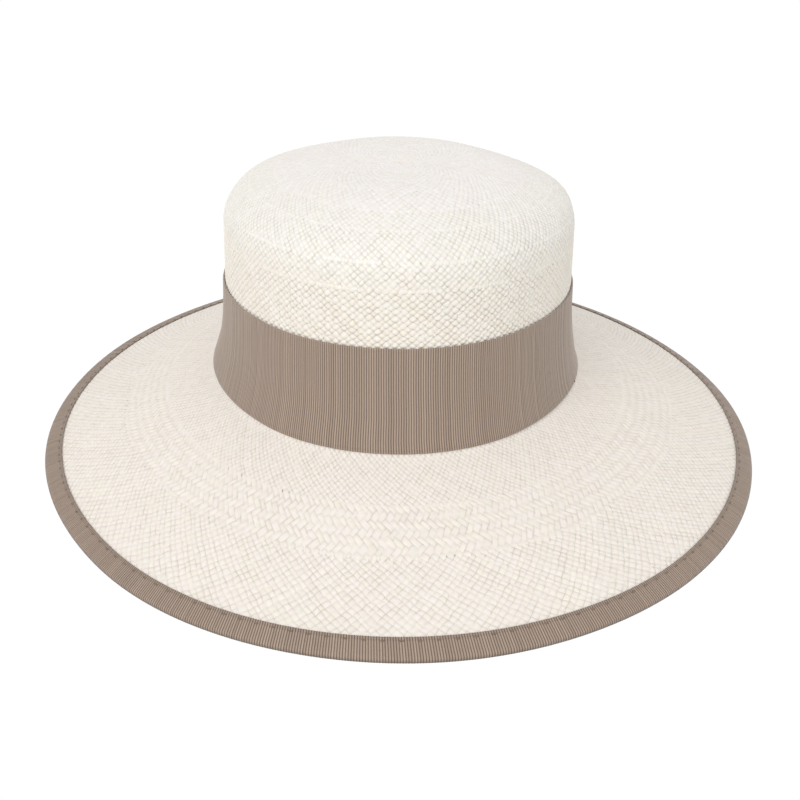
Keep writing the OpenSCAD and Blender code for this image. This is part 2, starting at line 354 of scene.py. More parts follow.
def make_piece(name, mesh, slot, part, body="hat"):
    """mesh holds vertices in mm, quads, one colour a vertex and one uv a face corner."""
    verts, faces, tint, uv = mesh
    verts = np.asarray(verts, np.float64).reshape(-1, 3) * 0.001
    faces = np.asarray(faces, np.int32).reshape(-1, 4)
    data = bpy.data.meshes.new(name)
    data.vertices.add(len(verts))
    data.vertices.foreach_set("co", verts.astype(np.float32).ravel())
    data.loops.add(faces.size)
    data.loops.foreach_set("vertex_index", faces.ravel())
    data.polygons.add(len(faces))
    data.polygons.foreach_set("loop_start", np.arange(0, faces.size, 4, dtype=np.int32))
    data.polygons.foreach_set("use_smooth", np.ones(len(faces), bool))
    data.update(calc_edges=True)
    layer = data.uv_layers.new(name="OFBake")
    layer.data.foreach_set("uv", np.asarray(uv, np.float32).ravel())
    colours = data.attributes.new("Tint", "FLOAT_COLOR", "POINT")
    rgba = np.ones((len(verts), 4), np.float32)
    rgba[:, :3] = np.clip(np.asarray(tint, np.float32).reshape(-1, 3), 0, 1)
    colours.data.foreach_set("color", rgba.ravel())
    data.validate()
    data.materials.append(MATERIALS[slot])
    piece = bpy.data.objects.new(name, data)
    bpy.context.scene.collection.objects.link(piece)
    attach(piece, body)
    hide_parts(part)


def grid(points, tint, wrap_rows=False, wrap_cols=False, flip=False):
    """Mesh of a grid of points[row, column]."""
    rows, cols = points.shape[:2]
    index = np.arange(rows * cols).reshape(rows, cols)
    quad_rows = rows if wrap_rows else rows - 1
    quad_cols = cols if wrap_cols else cols - 1
    r0, c0 = np.meshgrid(np.arange(quad_rows), np.arange(quad_cols), indexing="ij")
    r1, c1 = (r0 + 1) % rows, (c0 + 1) % cols
    quads = np.stack([index[r0, c0], index[r0, c1], index[r1, c1], index[r1, c0]], -1)
    quads = quads.reshape(-1, 4)
    du, dv = 1.0 / quad_cols, 1.0 / quad_rows
    u = np.stack([c0 * du, (c0 + 1) * du, (c0 + 1) * du, c0 * du], -1)
    v = np.stack([r0 * dv, r0 * dv, (r0 + 1) * dv, (r0 + 1) * dv], -1)
    uv = np.stack([u, v], -1).reshape(-1, 4, 2)
    if flip:
        quads = quads[:, ::-1]
        uv = uv[:, ::-1]
    return points.reshape(-1, 3), quads, np.broadcast_to(tint, points.shape).reshape(-1, 3), uv


# ---------------------------------------------------------------- woven straw
# tints of single straws and how often each occurs
STRAND_TINTS = np.array([[1.0, 1.0, 1.0], [1.0, 0.996, 0.955], [1.0, 0.978, 0.972],
                         [0.972, 0.98, 0.965], [0.985, 0.97, 0.94]])
TINT_SHARES = [0.46, 0.18, 0.16, 0.12, 0.08]


def straw_ring(name, way_0, way_1, row_step, count, kind, *, end, side, groove, gap, lap, seed,
               top=0.05, hole=0.12, cuts=4, stops=(0, 0.15, 0.5, 0.85, 1), bead=0.0, jitter=0.07,
               wobble=0.10, under=False, tone=1.0, tone_end=None, part=(0, 1),
               hole_rows=(0.35, 0.35)):
    """Ring of straw between two ways: two sets of straws, u and v, that cross on the diagonal.

    count crossings round, rows row_step apart. Plain weave goes over one and under one, twill
    over two and under two. Each crossing is a cell of cuts x cuts quads, cut at stops.
    Relief in mm: top is a straw's crest; end and side its fall along and across; groove and hole
    the dips at borders and corners; lap the dip under the ring before. bead widens every other
    crossing; jitter and wobble shift straws and crossings. gap is how much painted shade darkens
    the borders and the corner holes, hole_rows the share of corners painted as shaded holes in
    every fourth pair of rows and in the rest.
    tone fades to tone_end; part picks a share of the rows; under makes the inner face.
    """
    rng = np.random.default_rng(seed)
    rows = max(1, int(round((way_1 - way_0) / row_step)))
    row_step = (way_1 - way_0) / rows
    row_0 = int(round(part[0] * 2 * rows))
    row_1 = int(round(part[1] * 2 * rows)) + (1 if part[1] >= 1 else 0)
    row, col = np.meshgrid(np.arange(row_0, row_1), np.arange(count), indexing="ij")
    row, col = row.ravel(), col.ravel()
    diagonal = 2 * col + (row & 1)
    strand_u = ((diagonal + row) // 2)[:, None, None]
    strand_v = ((diagonal - row) // 2)[:, None, None]
    crossing = row[:, None, None]
    cut_u, cut_v = np.meshgrid(np.arange(cuts + 1), np.arange(cuts + 1), indexing="ij")
    stops = np.asarray(stops, float)
    pos_u, pos_v = stops[cut_u], stops[cut_v]

    def lattice(low, high):
        """One random number a crossing, blended over the cells between them."""
        g = rng.uniform(low, high, (count, count))
        u0, u1 = strand_u % count, (strand_u + 1) % count
        v0, v1 = strand_v % count, (strand_v + 1) % count
        return ((1 - pos_u) * (1 - pos_v) * g[u0, v0] + pos_u * (1 - pos_v) * g[u1, v0]
                + (1 - pos_u) * pos_v * g[u0, v1] + pos_u * pos_v * g[u1, v1])

    shift_u, shift_v = lattice(-wobble, wobble), lattice(-wobble, wobble)
    openness = lattice(0.15, 1.75)
    knot_u, knot_v = strand_u * cuts + cut_u, strand_v * cuts + cut_v
    if bead:
        swell = np.where(crossing % 2 == 0, 1.0, -1.0) * 2 * bead
        pos_u, pos_v = (0.5 + (pos_u - 0.5) * (1 + swell * (1 - (2 * pos_v - 1) ** 2)),
                        0.5 + (pos_v - 0.5) * (1 + swell * (1 - (2 * pos_u - 1) ** 2)))

    # which set is on top, how far along its float, and how far across it
    twill = kind == "twill"
    if twill:
        over_u = (crossing % 4) < 2
        along = np.where(over_u, (pos_u + (crossing % 4 == 1)) / 2,
                         (pos_v + (crossing % 4 == 2)) / 2)
    else:
        over_u = (crossing % 2) == 0
        along = np.where(over_u, pos_u, pos_v)
    across = np.where(over_u, pos_v, pos_u)

    # relief
    small = np.where((not twill) & (crossing % 2 == 1), 1.0, 0.0) * (bead * 0.9)
    height = (top - end * np.abs(2 * along - 1) ** 2.6 - side * np.abs(2 * across - 1) ** 3.0
              - small)
    edge_u, edge_v = (cut_u == 0) | (cut_u == cuts), (cut_v == 0) | (cut_v == cuts)
    mid_float = (np.abs(along - 0.5) < 1e-6) & twill
    border_u = edge_u & ~(over_u & mid_float)  # an edge that is a real border between two straws
    border_v = edge_v & ~(~over_u & mid_float)
    border = border_u | border_v
    corner = edge_u & edge_v
    height = height - groove * border * (0.5 + 0.5 * openness) - hole * corner

    # straws differ a little in width, height and colour
    def blend(jitters, strand, pos):
        return (1 - pos) * jitters[strand % count] + pos * jitters[(strand + 1) % count]

    jitter_u, jitter_v = rng.uniform(-jitter, jitter, count), rng.uniform(-jitter, jitter, count)
    rise_u, rise_v = rng.normal(0, 0.03, count), rng.normal(0, 0.03, count)
    place_u = strand_u + pos_u + blend(jitter_u, strand_u, pos_u) + shift_u
    place_v = strand_v + pos_v + blend(jitter_v, strand_v, pos_v) + shift_v
    rise = np.where(over_u, rise_v[strand_v % count], rise_u[strand_u % count])
    height = height + rise * (1 - border)
    if tone_end is not None:
        far = np.clip((place_u - place_v) / 2 / rows, 0, 1)[..., None]
        tone = tone * (1 - far) + tone_end * far

    def strand_colours():
        picked = STRAND_TINTS[rng.choice(5, count, p=TINT_SHARES)]
        return picked * rng.normal(1, 0.012, (count, 1))

    colour_u = strand_colours()
    colour_v = strand_colours()
    colour = np.where(over_u[..., None], colour_v[strand_v % count], colour_u[strand_u % count])
    colour = colour * STRAW * tone
    # painted shade: each float is up to a tenth darker toward its ends, where it dives under the
    # crossing straw
    colour = colour * (1 - 0.10 * (np.abs(2 * along - 1) ** 3)[..., None])
    # painted shade in the borders between straws, deeper where the gap is more open, and in some of the
    # corner holes
    dark = (np.clip(openness, 0, 1.6) * gap)[..., None]
    border_shade_colour = STRAW * (1 - dark) + STRAW_GAP_SHADE * dark
    hole_shade_colour = STRAW * (1 - gap) + STRAW_HOLE_SHADE * gap
    colour = np.where(border[..., None], border_shade_colour * tone, colour)
    hole_share = np.where((row // 2) % 4 == 0, hole_rows[0], hole_rows[1])
    deep = (rng.random(len(row)) < hole_share)[:, None, None, None]
    in_hole = (corner & border_u & border_v)[..., None] & deep
    colour = np.where(in_hole, hole_shade_colour * tone, colour)

    x = (place_u + place_v) / 2
    y = (place_u - place_v) / 2
    # the ring's inner end dips under the straws of the ring before it
    height = height - lap * smooth(1 - (y + 0.5) / 1.0)

    # cells share the vertices on their common edges
    around = 2 * count * cuts
    key = (knot_u - knot_v).astype(np.int64) * around + (knot_u + knot_v) % around
    _, first, index = np.unique(key.ravel(), return_index=True, return_inverse=True)
    index = index.reshape(key.shape)
    uses = np.bincount(index.ravel()).astype(float)

    def mean(values):
        return np.bincount(index.ravel(), values.ravel()) / uses

    height = mean(height)
    tint = np.stack([mean(colour[..., c]) for c in range(3)], -1)
    if under:
        height = -STRAW_T - height + 0.05
    points = surf(way_0 + y.ravel()[first] * row_step, x.ravel()[first] / count, height)

    def corners(cell):
        return [cell[:, :-1, :-1], cell[:, 1:, :-1], cell[:, 1:, 1:], cell[:, :-1, 1:]]

    quads = np.stack(corners(index), -1).reshape(-1, 4)
    u = np.clip(x / (count + 1.5) + 0.5 / (count + 1.5), 0, 1)
    v = (y + 0.7) / (rows + 1.4)
    uv = np.stack(corners(np.stack([u, v], -1)), 3).reshape(-1, 4, 2)
    if not under:
        quads = quads[:, ::-1]
        uv = uv[:, ::-1]
    make_piece(name, (points, quads, tint, uv), "straw", "straw_body")


# straw tints by zone: toward the tip the straw's own colour is cooler, and the tip and shoulder are
# also painted a few hundredths lighter as painted light
TONE_TIP = np.array([1.01, 1.03, 1.075])
TONE_UP = np.array([1.005, 1.04, 1.06])
TONE_SIDE = np.array([1.0, 1.015, 1.01])
TONE_LOW = np.array([1.0, 1.005, 0.99])

# crown tip: rings that widen from the middle, as (start way, end way, crossings round)
TIP_RINGS = [(3.0, 10.0, 16), (10.0, 20.5, 36), (20.5, 31.0, 62), (31.0, 42.0, 92),
             (42.0, 54.3, 126)]
TIP_END = TIP_RINGS[-1][1]
SHOULDER_SPLIT = TIP_END + 11.5
SHOULDER_END = wall_way(103.0)
SIDE_SPLIT = wall_way(93.0)


def make_crown():
    for i, (start, stop, count) in enumerate(TIP_RINGS):
        straw_ring("straw_tip_%d" % i, start, stop, 2.8, count, "plain", end=0.15, side=0.11,
                   groove=0.06, hole=0.10, gap=0.26, bead=0.03, lap=0.12, wobble=0.16,
                   tone=TONE_TIP, seed=20 + i)
    # the rosette in the very middle, with ten low waves round
    way, share = np.meshgrid([0.02, 0.8, 1.6, 2.4, 3.2, 4.2], np.linspace(0, 1, 61)[:-1],
                             indexing="ij")
    wave = np.cos(share * 2 * np.pi * 10)
    height = 0.02 + 0.10 * wave * smooth(way / 2) - 0.16 * smooth((way - 3) / 1.2)
    # painted shade: the troughs of the waves are a twentieth darker
    tint = STRAW * (1 - 0.05 * (wave < 0)[..., None])
    make_piece("straw_rosette", grid(surf(way, share, height), tint, wrap_cols=True),
               "straw", "straw_body")

    upper = dict(lap=0.12, wobble=0.15, jitter=0.10)
    straw_ring("straw_shoulder_top", TIP_END, SHOULDER_SPLIT, 2.7, 172, "plain", end=0.15,
               side=0.12, groove=0.06, gap=0.36, bead=0.04, tone=TONE_TIP * 0.5 + TONE_UP * 0.5,
               tone_end=TONE_UP, seed=31, **upper)
    straw_ring("straw_shoulder", SHOULDER_SPLIT, SHOULDER_END, 2.7, 200, "plain", end=0.20,
               side=0.16, groove=0.07, gap=0.44, bead=0.05, tone=TONE_UP, seed=32, **upper)
    straw_ring("straw_side_top", SHOULDER_END, SIDE_SPLIT, 2.6, 188, "plain", end=0.28,
               side=0.22, groove=0.09, gap=0.44, bead=0.07, tone=TONE_UP, tone_end=TONE_SIDE,
               seed=33, **upper)
    straw_ring("straw_side", SIDE_SPLIT, wall_way(69.9), 2.7, 170, "plain", top=0.07, end=0.36,
               side=0.34, groove=0.10, hole=0.10, gap=0.42, bead=0.10, lap=0.12, jitter=0.13,
               wobble=0.16, tone=TONE_SIDE, tone_end=TONE_LOW, seed=34)


def make_brim():
    straw_ring("straw_brim_0", wall_way(33.5), brim_way(107.0), 3.0, 284, "plain", end=0.12,
               side=0.10, groove=0.06, gap=0.38, jitter=0.12, wobble=0.15, lap=0.3,
               hole_rows=(0.55, 0.22), seed=41)
    straw_ring("straw_brim_1", brim_way(107.0), brim_way(128.5), 3.8, 290, "twill", end=0.09,
               side=0.06, groove=0.055, gap=0.42, jitter=0.13, wobble=0.16, lap=0.10,
               hole_rows=(0.55, 0.22), seed=42)
    # the outer ring is one weave made as two halves
    for i in (0, 1):
        straw_ring("straw_brim_%d" % (2 + i), brim_way(128.5), brim_way(161.5), 3.25, 302,
                   "plain", end=0.12, side=0.10, groove=0.08, gap=0.44, jitter=0.13,
                   wobble=0.15, lap=0.10, stops=(0, 0.11, 0.5, 0.89, 1),
                   part=(i * 0.5, 0.5 + i * 0.5), hole_rows=(0.75, 0.15), seed=44)


def make_core():
    """The layer right behind the weave, and the hidden wall behind the ribbon."""
    way = np.concatenate([np.linspace(0.4, 54, 24),
                          np.linspace(56, wall_way(71.2), 30),
                          np.linspace(wall_way(69.6), wall_way(34.8), 22),
                          np.linspace(wall_way(33.6), brim_way(92.0), 16),
                          np.linspace(brim_way(94.0), PROF_WAY[-1], 40)])
    behind_band = (way > wall_way(70.4)) & (way < wall_way(34.2))
    height = np.where(behind_band, -0.02, -0.62)
    way, share = np.meshgrid(way, np.arange(360) / 360, indexing="ij")
    outer = surf(way, share, height[:, None])
    inner = surf(way[::-1], share, -1.05)
    # painted shade: the face seen through the weave's gaps is darker than the border shade, the inner
    # face darker than the straw
    tint = np.concatenate([np.broadcast_to(STRAW_GAP_SHADE * 0.9, outer.shape),
                           np.broadcast_to(STRAW * 0.86, inner.shape)])
    make_piece("straw_core", grid(np.concatenate([outer, inner]), tint, wrap_cols=True,
                                  flip=True), "straw", "straw_body")


def make_underside():
    """Inside and underside: the straw seen from behind."""
    # name, start way, end way, row step, crossings round, weave
    rings = [("tip_0", 3.0, 20.5, 3.0, 36, "twill"),
             ("tip_1", 20.5, 42.0, 3.0, 96, "twill"),
             ("shoulder", 42.0, SHOULDER_END, 3.0, 190, "twill"),
             ("wall", SHOULDER_END, wall_way(31.5), 3.1, 176, "plain"),
             ("brim_0", brim_way(88.0), brim_way(127.0), 3.2, 310, "twill"),
             ("brim_1", brim_way(127.0), brim_way(161.5), 3.4, 334, "twill")]
    for i, (name, *layout) in enumerate(rings):
        straw_ring("straw_under_" + name, *layout, top=0.0, end=0.20, side=0.10, groove=0.08,
                   gap=0.42, lap=0.2, cuts=2, stops=(0, 0.5, 1), under=True, seed=61 + i)


make_crown()
make_brim()
make_core()
make_underside()


# ---------------------------------------------------------------- swept rings
RIB_CUTS = 4  # samples a rib


def rib(samples, amplitude):
    """Height of a ribbed ribbon at each sample, and how far its colour goes from the painted groove
    shade to the painted light of the crest.
    """
    wave = np.sin(np.pi * ((samples % RIB_CUTS) / RIB_CUTS))
    return amplitude * wave ** 0.7, wave ** 0.8


# painted shade in the grooves and painted light on the crests of the ribs
def rib_tint(light, tone, groove=TAUPE_GROOVE_SHADE):
    return groove * (1 - light)[:, None] + TAUPE * light[:, None] * tone[:, None]


def swept_ring(name, half_w, z, samples, tint, slot, part, wave):
    share = np.arange(samples) / samples
    if wave is not None:
        dw, dz = wave(share, half_w, z)
        half_w, z = half_w + dw, z + dz
    mesh = grid(ring(half_w, z, share), tint, wrap_rows=True, wrap_cols=True, flip=True)
    make_piece(name, mesh, slot, part)


def plain_ring(name, outline, slot, part, tint, wave=None):
    """Ring swept from a closed list of (half width, z)."""
    outline = np.asarray(outline, float)
    swept_ring(name, outline[:, :1], outline[:, 1:], 540, tint, slot, part, wave)


def ribbed_ring(name, outline, ribs, slot, part, wave, *, amplitude, seed, groove=TAUPE_GROOVE_SHADE):
    """Ring swept from a closed list of (half width, z, rib share, tone). Ribs cross the ribbon."""
    rng = np.random.default_rng(seed)
    samples = np.arange(ribs * RIB_CUTS)
    outline = np.asarray(outline, float)
    step = np.roll(outline[:, :2], -1, 0) - np.roll(outline[:, :2], 1, 0)
    step /= np.linalg.norm(step, axis=1)[:, None] + 1e-9
    rib_share = outline[:, 2]
    lift, light = rib(samples, amplitude)
    rib_tone = 1 + 0.045 * rng.standard_normal(ribs)[samples // RIB_CUTS]
    lift = lift * (1 + 0.25 * rng.standard_normal(ribs))[samples // RIB_CUTS]
    half_w = outline[:, :1] + (step[:, 1] * rib_share)[:, None] * lift
    z = outline[:, 1:2] + (-step[:, 0] * rib_share)[:, None] * lift
    tint = rib_tint(light, rib_tone, groove)[None] * outline[:, 3][:, None, None]
    swept_ring(name, half_w, z, len(samples), tint, slot, part, wave)


# ---------------------------------------------------------------- hat band
# outer face, with a thin line along both edges: z, rib share, tone
BAND_ROWS = [
    (BAND_BOTTOM, 0.0, 1), (31.62, 0.5, 1), (32.1, 0.9, 1), (32.6, 0.7, 0.93), (33.3, 1, 1),
    (36, 1, 1), (40, 1, 1), (44, 1, 1), (48, 1, 1), (52, 1, 1), (56, 1, 1), (60, 1, 1),
    (64, 1, 1), (67, 1, 1), (69.8, 1, 1), (70.6, 0.85, 0.97), (71.1, 0.95, 1.02),
    (71.5, 0.5, 1), (71.6, 0.0, 1),
]


def band_wave(share, half_w, z):
    up = np.clip((z - 33) / 40, 0, 1)
    return (0.08 * np.sin(2 * np.pi * (3 * share + 0.1)) * up,
            0.22 * np.sin(2 * np.pi * (2 * share + 0.3)) * up)


def make_band():
    outline = []
    for z, rib_share, tone in BAND_ROWS:
        inset = 0.10 if rib_share else 0.22
        outline.append((wall_r(z) + GAP + RIBBON_T - inset, z, rib_share, tone))
    # the face against the wall, flat and painted a tenth darker as shade
    for z in (71.5, 66, 58, 50, 42, 36, 31.6):
        outline.append((wall_r(z) + GAP, z, 0.0, 0.9))
    ribbed_ring("hat_band_ribbon", outline, 601, "grosgrain", "hat_band", band_wave,
                amplitude=0.16, seed=5)


make_band()


# ---------------------------------------------------------------- brim binding
# border of the tape's upper side, painted darker as shade in its dip: way in from its first point, dip,
# rib share, tone
BIND_BORDER = [(0.45, -0.02, 0.8, 0.93), (0.85, -0.10, 0.35, 0.82),
               (1.25, -0.02, 0.9, 0.97), (1.8, 0.0, 1.0, 1.0)]
# painted shade round the fold at the brim's edge, darkest underneath
FOLD_SHADE_TONES = (1.0, 0.95, 0.80, 0.56, 0.42, 0.40, 0.40)


def offset_line(points, height):
    step = unit_gradient(points)
    return points + height * np.stack([-step[:, 1], step[:, 0]], 1)


def make_binding():
    """Tape folded over the brim's edge."""
    reach = np.linspace(BIND_IN, BRIM_W, 7)
    straw_top = pairs(reach, brim_h(reach))
    upper = offset_line(straw_top, TAPE_FACE)
    lower = offset_line(straw_top, -STRAW_T - TAPE_FACE)[::-1]
    step = straw_top[-1] - straw_top[-2]
    step /= np.linalg.norm(step)
    normal = np.array([-step[1], step[0]])
    fold_mid = straw_top[-1] - normal * STRAW_T / 2
    fold_start = math.atan2(normal[1], normal[0])

    def fold_point(radius, angle):
        return fold_mid + radius * np.array([math.cos(angle), math.sin(angle)])

    edge = upper[0] + np.array([-0.25, 0.08])
    # the tape's inner edge, painted slightly darker as shade
    outline = [(edge[0], edge[1] - 0.25, 0.0, 0.98), (edge[0] + 0.05, edge[1] + 0.02, 0.5, 0.97)]
    run = (upper[1] - upper[0]) / np.linalg.norm(upper[1] - upper[0])
    for along, dip, rib_share, tone in BIND_BORDER:
        w, z = upper[0] + run * along + np.array([-run[1], run[0]]) * dip
        outline.append((w, z, rib_share, tone))
    outline += [(w, z, 1.0, 1.0) for w, z in upper[3:]]
    for i, tone in enumerate(FOLD_SHADE_TONES):
        w, z = fold_point(STRAW_T / 2 + TAPE_FACE, fold_start - math.pi * (i + 1) / 8)
        outline.append((w, max(z, 0.0), 1.0 if i < 4 else 0.3, tone))
    # the underside, painted darker as shade
    outline += [(w, max(z, 0.0), 0.2, 0.85) for w, z in lower[1:]]
    # the smooth side against the straw, back round to the start, painted darker as shade
    inner = list(offset_line(straw_top, -STRAW_T - TAPE_GAP)[:-1][::2])
    inner += [fold_point(STRAW_T / 2 + TAPE_GAP, fold_start + math.pi * i / 4 - math.pi)
              for i in range(1, 4)]
    inner += list(offset_line(straw_top, TAPE_GAP)[::-1][::2])
    outline += [(w, z, 0.0, 0.7) for w, z in inner]

    def wave(share, half_w, z):
        # fine teeth along the tape's inner border on top, a slow wave at the brim's edge
        sample = np.arange(len(share))
        tooth = np.where(sample % 3 == 0, 0.22, np.where(sample % 3 == 1, -0.12, -0.08))
        border = np.clip(1 - (half_w - edge[0]) / 0.35, 0, 1) * (z > brim_h(half_w))
        slow = 0.10 * np.sin(2 * np.pi * 9 * share) * np.clip((half_w - 160) / 4, 0, 1)
        return tooth[None] * border + slow, 0

    # the rib grooves of the tape get deeper painted shade
    ribbed_ring("brim_binding_tape", outline, 1189, "binding_tape", "brim_binding", wave,
                amplitude=0.12, seed=6, groove=TAUPE_GROOVE_SHADE * 0.92)


make_binding()


# ---------------------------------------------------------------- stitches


def threads(name, centres, along, up, slot, part, colour, *, length, thickness, sag, seed=3):
    """Short threads: each an arched capsule, its ends sag lower than its middle."""
    sides, rings = 8, 7
    rng = np.random.default_rng(seed)
    count = len(centres)
    across = np.cross(along, up)
    stations = np.linspace(-1, 1, rings)
    radii = thickness / 2 * np.sqrt(np.clip(1 - np.abs(stations) ** 6, 0.02, 1))
    turns = np.arange(sides) * 2 * np.pi / sides
    points = np.zeros((count, rings, sides, 3))
    for i, (station, radius) in enumerate(zip(stations, radii)):
        middle = centres + along * (station * length / 2) - up * (sag * station * station)
        for j, turn in enumerate(turns):
            points[:, i, j] = middle + (across * math.cos(turn) + up * math.sin(turn)) * radius
    index = np.arange(count * rings * sides).reshape(count, rings, sides)
    turned = np.roll(index, -1, 2)
    quads = [np.stack([index[:, :-1], index[:, 1:], turned[:, 1:], turned[:, :-1]],
                      -1).reshape(-1, 4)]
    for end, flip in ((0, False), (rings - 1, True)):
        for picked in ([0, 1, 2, 3], [0, 3, 4, 7], [4, 5, 6, 7]):
            cap = index[:, end][:, picked]
            quads.append(cap[:, ::-1] if flip else cap)
    quads = np.concatenate(quads)
    uv = np.stack([np.repeat(np.arange(count), rings * sides) / count,
                   np.tile(np.repeat(np.arange(rings), sides), count) / rings], -1)[quads]
    tint = np.repeat(colour * (1 + 0.05 * rng.standard_normal((count, 1))), rings * sides, 0)
    make_piece(name, (points, quads, tint, uv), slot, part)


def directions(angle):
    """Unit vectors along the oval and outward."""
    cos, sin, zero = np.cos(angle), np.sin(angle), 0 * angle
    return np.stack([-sin, cos, zero], -1), np.stack([cos, sin, zero], -1)


def stitch_row(half_w, z, count):
    share = np.arange(count) / count
    return ring(half_w, z, share), *directions(angle_of(half_w, share))


def make_binding_stitches():
    half_w, pitch = BIND_IN + 1.0, 6.0
    centres, along, outward = stitch_row(half_w + 0.30, brim_h(half_w) + TAPE_FACE,
                                         int(round(round_len(half_w) / pitch)))
    slope = math.atan2(brim_h(half_w) - brim_h(half_w + 1), 1.0)
    up = outward * math.sin(slope) + np.array([0, 0, math.cos(slope)])
    threads("brim_binding_threads", centres, along, up, "taupe_thread", "brim_binding_stitches",
            TAUPE_DARK * 1.5, length=1.6, thickness=0.44, sag=0.18)


make_binding_stitches()

# ---------------------------------------------------------------- sweatband and what holds it
# inner face: z, dent away from the head
SWEAT_ROWS = [(31.8, 0.2), (32.0, 0), (33.0, 0), (33.5, 0.14), (34.0, 0), (36, -0.02),
              (40, -0.04), (44, -0.05), (48, -0.05), (52, -0.04), (56, -0.02), (59.5, 0),
              (60.2, 0.14), (60.6, 0), (61.8, 0), (62.0, 0.2)]
REED_W, REED_Z = wall_r(31.8) + SWEAT_OUT - 0.4 - 0.5, 29.9
FLANGE_Z = (31.9, 34, 37, 39.8)


def sweat_wave(share, half_w, z):
    up = np.clip((z - 40) / 22, 0, 1)
    return (-0.35 * up * (1 + np.sin(2 * np.pi * 5 * share + 1.0)) * 0.5,
            0.25 * up * np.sin(2 * np.pi * 4 * share))


def on_wall(offset, heights):
    return [(wall_r(z) + offset, z) for z in heights]


def round_reed(radius, angles):
    return [(REED_W + radius * math.cos(a), REED_Z + radius * math.sin(a)) for a in angles]


def make_sweatband():
    inner = [(wall_r(z) + SWEAT_IN + dent, z) for z, dent in SWEAT_ROWS]
    outer = on_wall(SWEAT_OUT, (61.9, 56, 50, 44, 38, 31.9))
    plain_ring("sweatband_cloth_band", (inner + outer)[::-1], "sweatband_cloth", "sweatband",
               CREAM, sweat_wave)
    plain_ring("reed_cord_core", round_reed(0.9, np.linspace(0, 2 * np.pi, 17)[:-1]),
               "reed_plastic", "reed_cord", REED_WHITE)
    # tape round the reed, with a flange up along the straw
    wrap = np.linspace(math.radians(50), math.radians(50 + 340), 24)
    outline = (on_wall(-STRAW_T - 0.43, FLANGE_Z[::-1]) + round_reed(1.22, wrap)
               + round_reed(0.98, wrap[::-1]) + on_wall(-STRAW_T - 0.27, FLANGE_Z))
    plain_ring("reed_tape_sleeve", outline, "reed_tape_cloth", "reed_tape", REED_TAPE)
    half_w, pitch = wall_r(33.6) + SWEAT_IN - 0.12, 4.0
    centres, along, outward = stitch_row(half_w, 33.55, int(round(round_len(half_w) / pitch)))
    threads("sweatband_threads", centres, along, -outward, "cream_thread",
            "sweatband_stitches", CREAM * 0.92, length=2.6, thickness=0.44, sag=0.12, seed=4)


make_sweatband()


# ---------------------------------------------------------------- bow at the back


def back_pt(degrees, height, z):
    """Point off the wall's back arc; 90 degrees is straight back, more is toward -X."""
    angle = np.radians(degrees)
    radius = wall_r(z) + height - END_CUT
    return np.stack([radius * np.cos(angle), CENTRE + radius * np.sin(angle), z + 0 * angle], -1)


def wall_ribbon(name, path, z_0, z_1, thick, part, *, seed, rib_side, pitch=1.2, amplitude=0.15,
                rows=12):
    """Ribbon that follows a path of (degrees, height off the wall), with its ribs upright.

    rib_side 1 puts the ribs on the path's left in the plane of degrees and height, -1 right.
    """
    rng = np.random.default_rng(seed)
    radius = wall_r(50) - END_CUT
    path = np.stack([np.radians(path[:, 0]) * radius, path[:, 1]], 1)
    length = np.concatenate([[0], np.cumsum(np.hypot(*np.diff(path, axis=0).T))])
    ribs = max(2, int(round(length[-1] / pitch)))
    samples = np.arange(ribs * RIB_CUTS + 1)
    run = np.linspace(0, length[-1], len(samples))
    path = np.stack([np.interp(run, length, path[:, 0]), np.interp(run, length, path[:, 1])], 1)
    step = np.gradient(path, axis=0)
    step /= np.linalg.norm(step, axis=1)[:, None] + 1e-9
    normal = np.stack([-step[:, 1], step[:, 0]], 1) * rib_side
    lift, light = rib(samples, amplitude)
    fade = np.ones(len(samples))
    fade[[0, -1]] = 0.0  # the two faces meet at the ends
    levels = np.concatenate([[0.0, 0.01, 0.035, 0.05], np.linspace(0.08, 0.92, rows),
                             [0.95, 0.965, 0.99, 1.0]])
    rib_shares = np.ones(len(levels))
    rib_shares[[0, -1]] = 0.0
    rib_shares[[2, -3]] = 0.3  # a darker line along both edges
    tint = rib_tint(light, 1 + 0.05 * rng.standard_normal(ribs + 1)[samples // RIB_CUTS])
    points, tints = [], []

    def add_row(level, offset, tone):
        spot = path + normal * offset[:, None]
        points.append(back_pt(np.degrees(spot[:, 0] / radius), spot[:, 1],
                              z_0 + (z_1 - z_0) * level))
        tints.append(tint * tone)

    for level, share in zip(levels, rib_shares):
        add_row(level, (thick / 2 - 0.08 + lift * share) * fade, 0.86 if share == 0.3 else 1.0)
    # the back face, painted a little darker as shade
    for level in levels[::-1][1:-1:2]:
        add_row(level, -(thick / 2) * fade, 0.92)
    make_piece(name, grid(np.array(points), np.array(tints), wrap_rows=True,
                          flip=rib_side > 0), "grosgrain", part)


def make_bow():
    wall_ribbon("bow_tails_ribbon", pairs(np.linspace(131, 49, 60), 1.27), 37.5, 67.5, 0.66,
                "bow_tails", seed=11, rib_side=1.0)
    # each loop runs out from the knot, turns round its end and comes back closer to the wall
    for name, inner, outer, side in (("left", 91.6, 121.4, 1), ("right", 88.4, 58.6, -1)):
        turn = 1.1 * side
        turn_start = outer - turn
        out = np.linspace(inner, turn_start, 26)
        bulge = 4.35 + 0.40 * np.sin(np.pi * (out - inner) / (outer - inner))
        bend = np.linspace(0.25, math.pi - 0.25, 9)
        path = np.concatenate([pairs(out, bulge),
                               pairs(turn_start + turn * np.sin(bend), 3.17 + 1.2 * np.cos(bend)),
                               pairs(np.linspace(turn_start, inner, 20), 2.08)])
        wall_ribbon("bow_loop_" + name, path, 36.5, 68.5, 0.62, "bow_loops", seed=12 + side,
                    rib_side=float(side))


